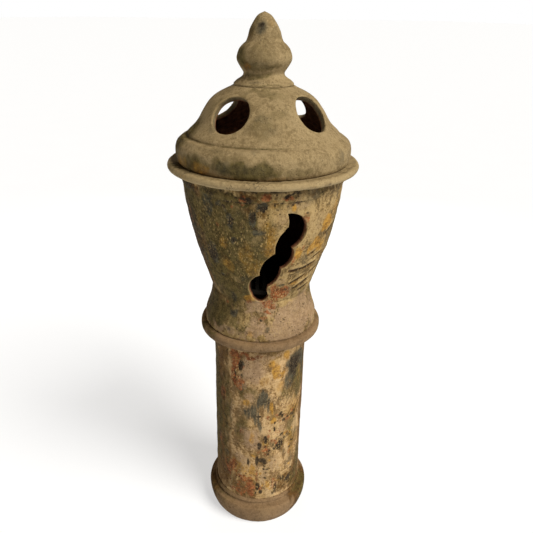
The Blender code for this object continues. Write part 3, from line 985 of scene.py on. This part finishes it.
# The thin rows at 1115 to 1122 mm paint the shadow line under the collar, and the rows at azimuth -50 and
# further left paint shade on the finial's left side
FINIAL_WASHES = {
    "olive": [
        (-60, 1165, 26, 24, 0.75), (-20, 1134, 40, 7, 0.6), (-50, 1220, 20, 24, 0.55),
        (0, 1115, 60, 4, 0.5), (0, 1150, 60, 10, 0.55), (-10, 1168, 50, 34, 0.4), (170, 1170, 60, 50, 0.4),
    ],
    "slate": [
        (-10, 1152, 26, 8, 0.45), (-13, 1218, 18, 15, 0.9), (-18, 1122, 26, 4, 0.45), (0, 1185, 20, 8, 0.3),
    ],
    "ochre": [(35, 1228, 10, 12, 0.35), (-40, 1148, 12, 8, 0.5)],
    "umber": [(-44, 1150, 16, 14, 0.8), (-60, 1215, 20, 24, 0.5)],
    "red": [(-42, 1150, 8, 6, 0.35)],
    "dark": [(-13, 1223, 8, 7, 0.62), (-7, 1216, 7, 4, 0.45), (-20, 1121, 20, 2, 0.35)],
}
FINIAL_WASHES["slate"] += scattered(6, 17, (90, 270), (1120, 1230), (6, 16))


def lid_relief(azimuth, radius, height, points):
    edge = vent_distance(points + leaning(height))
    width = (VENT_EDGE[0] + VENT_EDGE[1] * noise(points, 14 * MM, 48)) * MM
    fade = ease(40, 0, azimuth) * ease(-120, -90, azimuth) + 0.2
    relief = 0.4 * MM * fractal(points, 0.018, 3, 49) + rings(height, 9 * MM, 0.22 * MM, 50)
    relief += fade * MM * (2.0 * groove(height, LID_BEAD, 5 * MM) - 2.2 * groove(height, LID_CREASE, 4 * MM))
    relief -= 0.5 * MM * pitted(LID_PITS, azimuth, radius, height, points)
    return relief - worn_edge(edge, width) * (height > VENTS_START)


def make_lid(material):
    dome = turned("lid_dome", lid_relief)
    cut(dome, [vent_cutter(azimuth, height) for azimuth, height in VENTS])
    points = vertices(dome)
    azimuth, radius, height = polar(centred(points))
    depth = depth_below("lid_dome", radius, height)
    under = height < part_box("bowl_rim")[1].z + 1 * MM
    rough = noise(points, 0.02, 54)
    # Painted shade in the crease, fading towards the lit right, and along the seat on the rim
    crease_shade = ease(34, 0, azimuth) * groove(height, LID_CREASE, 4 * MM) * (0.7 + 0.3 * rough)
    sooty = ease(11 * MM, 13 * MM, depth + 0.5 * MM * rough)
    marks = {
        "slate": 0.7 * ease(2.5 * MM, 5 * MM, depth),
        "olive": 0.9 * crease_shade,
        "dark": 0.55 * crease_shade + 0.7 * groove(height, LID_SEAT, 4 * MM),
        "bare": np.maximum(ease(10.5 * MM, 12.5 * MM, depth), under),
        "soot": 0.25 * sooty * ease(*LID_SMOKE, height),
    }
    paint(dome, LID_WASHES, marks, LID_RAGGED)
    finish_piece(dome, "lid", "lid_dome", material)

    gauge = azimuths_for(FINIAL_GAUGE)
    plain_piece("lid", "lid_finial", material, finial_relief, FINIAL_WASHES, gauge, LID_RAGGED)


def finial_relief(azimuth, radius, height, points):
    return 0.35 * MM * fractal(points, 0.012, 3, 55)


PLATE_SHADOW = (0.535, 0.55)  # the column darkens under the plate between these heights
# The tall umber and olive rows near azimuth -78 to -64 and 60 to 76 paint shade at the column's left and
# right sides, together with its stains
COLUMN_WASHES = {
    "umber": [
        (-78, 310, 50, 270, 1.1), (-50, 180, 26, 120, 0.8), (-50, 420, 20, 90, 0.6),
        (-26, 120, 40, 50, 0.6), (60, 130, 26, 60, 0.75), (76, 300, 24, 200, 0.9), (30, 110, 24, 30, 0.55),
        (46, 330, 30, 30, 0.45), (72, 480, 30, 80, 1.1), (64, 112, 40, 50, 1.3), (34, 110, 34, 26, 1.1),
        (-64, 300, 34, 280, 1.3), (-54, 508, 24, 44, 1.1), (-32, 176, 30, 40, 0.6),
    ],
    "crust": [
        (22, 270, 50, 70, 0.75), (18, 130, 60, 60, 0.8), (34, 380, 30, 50, 0.6), (-28, 470, 20, 50, 0.8),
    ],
    "olive": [
        (-75, 330, 46, 240, 0.8), (-46, 320, 20, 220, 0.62), (-22, 300, 24, 70, 0.6),
        (60, 440, 30, 70, 1.0), (70, 160, 20, 70, 0.7), (55, 110, 30, 40, 0.62), (40, 400, 30, 36, 0.5),
        (-16, 425, 34, 24, 0.5), (50, 270, 24, 80, 0.62),
    ],
    "pink": [
        (-8, 480, 30, 36, 1.0), (-2, 508, 30, 20, 0.7), (-10, 275, 30, 40, 0.9), (22, 190, 22, 50, 0.4),
        (8, 150, 18, 40, 0.4), (14, 520, 26, 8, 0.6), (-22, 450, 20, 30, 0.6), (-24, 210, 24, 20, 0.6),
        (-12, 400, 16, 16, 0.8), (30, 295, 14, 16, 0.6),
    ],
    "red": [
        (-30, 516, 18, 14, 1.4), (-29, 490, 14, 16, 1.3), (-34, 470, 10, 12, 1.0), (-30, 446, 18, 15, 1.4),
        (-27, 428, 12, 7, 0.75), (-16, 524, 30, 5, 1.2), (-1, 524, 14, 6, 0.65), (-36, 178, 12, 28, 1.1),
        (-41, 155, 12, 16, 1.0), (-20, 146, 14, 10, 0.9), (-10, 120, 12, 26, 1.15), (-9, 92, 9, 16, 1.2),
        (-22, 100, 16, 20, 0.55), (22, 120, 7, 30, 0.6), (-52, 388, 12, 22, 0.65), (26, 300, 10, 12, 0.55),
        (8, 240, 8, 9, 0.65), (20, 265, 9, 9, 0.6), (-60, 240, 10, 20, 0.5), (36, 335, 10, 10, 0.45),
        (-24, 300, 10, 10, 0.45), (40, 322, 12, 8, 0.5), (-2, 160, 4, 30, 0.6), (-48, 175, 8, 20, 0.55),
    ],
    "slate": [
        (-20, 495, 7, 14, 1.0), (-22, 460, 6, 9, 0.85), (-22, 425, 20, 14, 0.7), (0, 394, 4, 30, 1.3),
        (4, 403, 5, 32, 1.5), (8, 398, 4, 34, 1.4), (12, 384, 4, 28, 1.1), (-18, 358, 5, 13, 1.0),
        (-13, 354, 5, 22, 1.2), (-8, 359, 5, 26, 1.4), (-4, 347, 5, 36, 1.4), (0, 336, 4, 36, 1.1),
        (3, 312, 5, 22, 0.9), (46, 480, 24, 42, 1.6), (58, 492, 18, 26, 1.4), (66, 470, 14, 40, 1.0),
        (40, 440, 18, 26, 1.3), (-35, 380, 8, 10, 0.55), (-48, 205, 12, 14, 0.8), (50, 380, 24, 18, 0.5),
        (34, 262, 10, 9, 0.6), (13, 418, 5, 6, 0.8), (-14, 350, 14, 30, 0.55), (30, 275, 14, 6, 0.6),
    ],
    "ochre": [
        (20, 480, 14, 26, 1.6), (14, 502, 12, 14, 1.1), (34, 515, 13, 14, 1.4), (27, 464, 13, 12, 1.0),
        (16, 372, 5, 24, 1.2), (17, 332, 9, 11, 1.5), (-15, 388, 10, 11, 0.75), (-9, 172, 9, 24, 0.95),
        (13, 122, 8, 16, 0.9), (-8, 282, 7, 28, 0.6), (-29, 510, 8, 10, 0.8), (4, 455, 14, 14, 0.55),
        (-18, 167, 12, 20, 0.6), (50, 350, 30, 50, 0.45), (50, 230, 30, 50, 0.48), (28, 430, 16, 20, 0.5),
        (62, 440, 10, 40, 0.4), (8, 262, 10, 14, 0.5), (-10, 150, 26, 40, 0.52), (-32, 172, 18, 30, 0.52),
    ],
    "dark": [
        (0, 255, 5, 12, 1.4), (8, 274, 6, 14, 1.4), (-24, 492, 4, 18, 0.9), (-31, 470, 3, 16, 0.8),
        (-29, 448, 12, 3, 0.7), (29, 248, 8, 16, 1.4), (6, 206, 13, 8, 1.4), (-2, 205, 5, 17, 1.2),
        (-14, 203, 4, 11, 1.0), (3, 100, 5, 9, 1.3), (-2, 121, 5, 13, 1.3), (36, 132, 9, 10, 1.1),
        (46, 122, 11, 10, 1.2), (24, 112, 6, 20, 1.0), (56, 492, 16, 20, 0.45), (22, 92, 8, 8, 0.75),
        (20, 306, 4, 8, 0.95), (13, 180, 9, 5, 0.75), (26, 346, 8, 4, 0.8), (48, 331, 9, 8, 0.8),
        (14, 236, 4, 8, 0.75), (23, 240, 7, 6, 0.75), (13, 500, 2.5, 3, 0.8), (30, 88, 9, 5, 0.6),
        (18, 402, 4, 5, 0.6), (26, 400, 4, 5, 0.6), (52, 318, 9, 5, 0.65), (20, 325, 4, 6, 0.7),
        (-52, 388, 8, 16, 0.45), (48, 478, 18, 34, 0.95), (30, 140, 6, 20, 0.55), (10, 166, 5, 4, 0.6),
        (38, 278, 7, 5, 0.6), (24, 276, 6, 5, 0.55), (4, 400, 6, 10, 0.4), (-38, 170, 5, 16, 0.45),
    ],
}
COLUMN_WASHES["olive"] += [(105, 310, 50, 220, 0.5), (180, 300, 60, 200, 0.4), (250, 320, 50, 230, 0.75)]
scatter(
    COLUMN_WASHES,
    ("dark", 26, 31, (-6, 52), (84, 355), (2.4, 6.5), (0.7, 1.1)),
    ("red", 18, 32, (-8, 50), (84, 350), (3.0, 9.0), (0.5, 0.9)),
    ("red", 24, 33, (-48, -2), (84, 160), (3.0, 8.0), (0.7, 1.2)),
    ("ochre", 16, 34, (-10, 50), (100, 300), (3.0, 9.0), (0.5, 0.9)),
    ("dark", 16, 35, (-40, -5), (90, 530), (1.5, 3.5), (0.5, 0.9)),
)
COLUMN_WASHES["umber"] += haloes(COLUMN_WASHES["dark"], 2.0, 0.45) + haloes(COLUMN_WASHES["red"], 1.6, 0.5)
COLUMN_WASHES["umber"] += [(110, 140, 60, 80, 0.5), (160, 420, 60, 90, 0.45), (250, 300, 60, 240, 0.7)]
scatter(
    COLUMN_WASHES,
    ("pink", 8, 25, (85, 275), (100, 520), (14, 36), (0.3, 0.6)),
    ("red", 20, 18, (85, 275), (85, 525), (6, 18)),
    ("slate", 18, 19, (85, 275), (90, 520), (8, 30)),
    ("ochre", 16, 20, (85, 275), (90, 520), (7, 24)),
    ("dark", 26, 21, (80, 280), (85, 500), (3, 10)),
)
COLUMN_PITS = scattered(110, 22, (-90, 90), (80, 340), (1.0, 3.0))
COLUMN_PITS += scattered(50, 23, (-90, 90), (340, 540), (0.8, 2.2))
COLUMN_PITS += scattered(80, 24, (90, 270), (80, 540), (1.2, 3.0))
# Thin brush marks up the right of the column, given like the bowl's scratches
COLUMN_STROKES = (
    (44, 316, 52, 342, 2.0), (49, 320, 57, 348, 2.0), (39, 328, 46, 350, 1.6), (54, 330, 62, 358, 1.8),
    (36, 372, 44, 394, 1.5), (42, 396, 51, 422, 1.6), (50, 398, 58, 424, 1.6), (46, 360, 55, 382, 1.5),
    (36, 258, 46, 276, 1.8), (44, 238, 53, 258, 1.5),
)
# The umber and olive near azimuth -74 to -55 and 70 to 72 paint shade at the foot's left and right sides, and
# the thin umber band at 4 mm paints shade along the bottom
FOOT_WASHES = {
    "umber": [(-74, 40, 50, 60, 1.0), (70, 40, 64, 60, 1.5), (150, 40, 60, 50, 0.4), (0, 4, 300, 5, 0.6)],
    "olive": [(-55, 60, 60, 30, 0.45), (72, 50, 50, 40, 0.8), (200, 40, 120, 40, 0.4)],
    "pink": [(20, 22, 50, 14, 0.35)],
}
# The umber and olive on the left paint shade, and the thin dark band at 551 mm paints shade along the plate's
# lower edge
PLATE_WASHES = {
    "umber": [(-70, 562, 50, 20, 0.6), (30, 552, 60, 5, 0.35)],
    "olive": [(-66, 562, 60, 20, 0.6), (190, 562, 200, 20, 0.45), (85, 562, 30, 20, 0.5)],
    "slate": [(0, 562, 120, 30, 0.3)],
    "dark": [(0, 551, 400, 2.0, 0.4)],
}


def column_relief(azimuth, radius, height, points):
    pits = pitted(COLUMN_PITS, azimuth, radius, height, points)
    chips = blots(COLUMN_WASHES["dark"], azimuth, radius, height, points, 50)
    relief = 0.8 * MM * fractal(points, 0.014, 3, 56) + rings(height, 11 * MM, 0.25 * MM, 57)
    relief -= 0.8 * MM * strokes(COLUMN_STROKES, azimuth, radius, height)
    return relief - 1.1 * MM * pits - 1.0 * MM * ease(0.4, 0.9, chips)


def make_pedestal(column_material, brown_material):
    column = turned("pedestal_column", column_relief)
    points = vertices(column)
    azimuth, radius, height = polar(centred(points))
    pits = 0.85 * pitted(COLUMN_PITS, azimuth, radius, height, points)
    shadow = 0.75 * ease(*PLATE_SHADOW, height + 3 * MM * noise(points, 0.02, 58))
    brushed = 0.75 * strokes(COLUMN_STROKES, azimuth, radius, height)
    paint(column, COLUMN_WASHES, {"dark": np.maximum.reduce([pits, shadow, brushed])})
    finish_piece(column, "pedestal", "pedestal_column", column_material)

    for node, washes in (("pedestal_foot", FOOT_WASHES), ("pedestal_plate", PLATE_WASHES)):
        plain_piece("pedestal", node, brown_material, plain_relief, washes)


GRATE_VOXEL = 1.1 * MM
GRATE_SMOOTHING = 4


def make_grate(material):
    """The grate, remeshed from its CAD solid so that its edges are as soft as a casting's."""
    grate = placed("fire_grate_iron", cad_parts["fire_grate"].data.copy())
    modify(grate, "WELD", merge_threshold=1e-5)
    modify(grate, "REMESH", mode="VOXEL", voxel_size=GRATE_VOXEL)
    modify(grate, "SMOOTH", iterations=GRATE_SMOOTHING)
    bake(grate)
    points = vertices(grate)
    bumps = 0.25 * MM * fractal(points, 6 * MM, 2, 61)
    bumped = points + np.stack((0 * bumps, 0 * bumps, bumps), axis=1)
    grate.data.vertices.foreach_set("co", bumped.ravel())
    finish_piece(grate, "grate", "fire_grate", material)


# ---- studio

CAMERA_DISTANCE = 1.18
CAMERA_HEIGHT = 1.2414
CAMERA_PITCH = 24.6  # below the horizon
CAMERA_ROLL = 0.73
SENSOR = 36.0
LENS = 37.15
FRAME_SHIFT = 0.0103
LIT_POINT = (0, 0, 0.65)  # the lamps look at it
LAMP_DISTANCE = 2.6
LAMP_SIZE = 1.5
SUN_SPREAD = 32.0
SKY_LIGHT = (0.115, 0.098, 0.08, 1)
SKY_SEEN = (1.0, 1.0, 1.0, 1)
FLOOR_TONES = ((0.4, 0.42, 0.45, 1), (0.42, 0.44, 0.47, 1))
FLOOR_GLOW = 0.55
FLOOR_NEAR = -20.0
FLOOR_FAR = 200.0
FLOOR_SIDE = 60.0


def make_camera():
    data = bpy.data.cameras.new("camera")
    assign(data, {"sensor_width": SENSOR, "lens": LENS, "shift_x": FRAME_SHIFT})
    camera = placed("camera", data)
    pitch = Matrix.Rotation(math.radians(90 - CAMERA_PITCH), 4, "X")
    roll = Matrix.Rotation(math.radians(CAMERA_ROLL), 4, "Z")
    camera.matrix_world = Matrix.Translation((0, -CAMERA_DISTANCE, CAMERA_HEIGHT)) @ pitch @ roll
    bpy.context.scene.camera = camera


def make_floor():
    mesh = bpy.data.meshes.new("floor")
    near, far = [[(side, away, 0) for side in (-FLOOR_SIDE, FLOOR_SIDE)] for away in (FLOOR_NEAR, FLOOR_FAR)]
    mesh.from_pydata(near + far[::-1], [], [(0, 1, 2, 3)])
    floor = placed("floor", mesh)
    look = Look(bpy.data.materials.new("floor"))
    pale = look.mix(look.noise(look.place(), 3, 2), *FLOOR_TONES)
    look.surface(Base_Color=pale, Roughness=0.9, Emission_Color=(1, 1, 1, 1), Emission_Strength=FLOOR_GLOW)
    mesh.materials.append(look.owner)


def lamp(name, kind, azimuth, elevation, energy, colour, distance=0.0, **settings):
    """A lamp that shines on the middle of the object from an azimuth and an elevation."""
    data = assign(bpy.data.lights.new(name, kind), {"energy": energy, "color": colour, **settings})
    away = direction(azimuth, elevation)
    turn = away.to_track_quat("Z", "Y").to_matrix().to_4x4()
    placed(name, data).matrix_world = Matrix.Translation(Vector(LIT_POINT) + distance * away) @ turn


def make_sky():
    """A sky that looks white but lights little."""
    world = bpy.data.worlds.new("studio")
    bpy.context.scene.world = world
    look = Look(world, "Background")
    seen = look.node("LightPath").outputs["Is Camera Ray"]
    look.surface(Color=look.mix(seen, SKY_LIGHT, SKY_SEEN), Strength=1.0)


def make_lamps():
    """A soft key from the right, and faint lamps to the left and behind."""
    lamp("key", "SUN", 52, 47, 4.2, (1.0, 0.95, 0.87), angle=math.radians(SUN_SPREAD))
    lamp("fill", "AREA", -50, 15, 3.5, (1.0, 0.82, 0.62), LAMP_DISTANCE, size=LAMP_SIZE)
    lamp("back", "AREA", 178, 14, 14, (1.0, 0.94, 0.86), LAMP_DISTANCE, size=LAMP_SIZE)


def main():
    mottled = clay("clay_mottled", MOTTLED, mottle=0.85, specks=1.0, breakup=0.7)
    creamy = clay("clay_creamy", CREAMY, mottle=0.85, specks=1.0, breakup=0.75)
    tan = clay("clay_tan", TAN, mottle=0.24, specks=0.4, breakup=0.5)
    brown = clay("clay_brown", BROWN, mottle=0.35, specks=0.35, breakup=0.7)
    make_pedestal(creamy, brown)
    make_bowl(mottled, tan)
    make_lid(tan)
    make_grate(cast_iron("grate_iron"))
    make_floor()
    make_sky()
    make_lamps()
    make_camera()
    bpy.context.scene.view_settings.view_transform = "Standard"


main()
